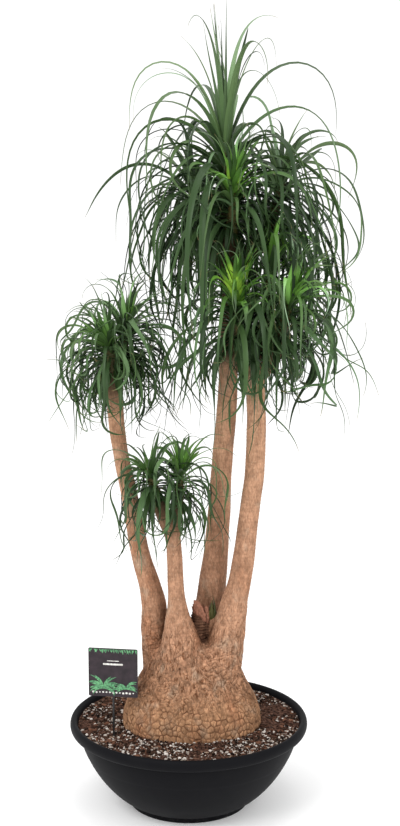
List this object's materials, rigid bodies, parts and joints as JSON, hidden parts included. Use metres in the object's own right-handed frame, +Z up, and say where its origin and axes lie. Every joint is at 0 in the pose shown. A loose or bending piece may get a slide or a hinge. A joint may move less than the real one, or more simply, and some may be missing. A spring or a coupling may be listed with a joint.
{
  "type": "potted ponytail palm",
  "caption": "Branched ponytail palm with a swollen cracked base, bare stems and drooping strap-leaf heads, in a wide dark bowl with soil and a small plant label.",
  "frame": {"origin": "centre of the underside of the bowl's foot, on the floor", "axes": "+Z up along the bowl's axis; +X to the right of the picture; -Y towards the viewer of the picture"},
  "size_m": [0.7534, 0.6361, 1.8007],
  "materials": {
    "bowl": "matte charcoal moulded plastic with a soft sheen on the rim",
    "soil": "coarse dark potting soil with white perlite and bits of bark",
    "bark": "tan bark, cracked into small plates on the swollen base and ringed on the stems",
    "leaf": "satin green leaf, lighter at the heart of each head",
    "card": "glossy dark printed card",
    "stake": "matte black"
  },
  "bodies": {
    "root": {"bowl": "bowl", "soil": "soil", "trunk": "bark", "rosette_top": "leaf", "rosette_top_front": "leaf", "rosette_top_right": "leaf", "rosette_top_left": "leaf", "rosette_middle_front": "leaf", "rosette_middle_right": "leaf", "rosette_middle_back": "leaf", "rosette_left_front": "leaf", "rosette_left_back": "leaf", "rosette_low_left": "leaf", "rosette_low_right": "leaf", "fork_shoot": "leaf", "label_card": "card", "label_stake": "stake"}
  },
  "joints": []
}
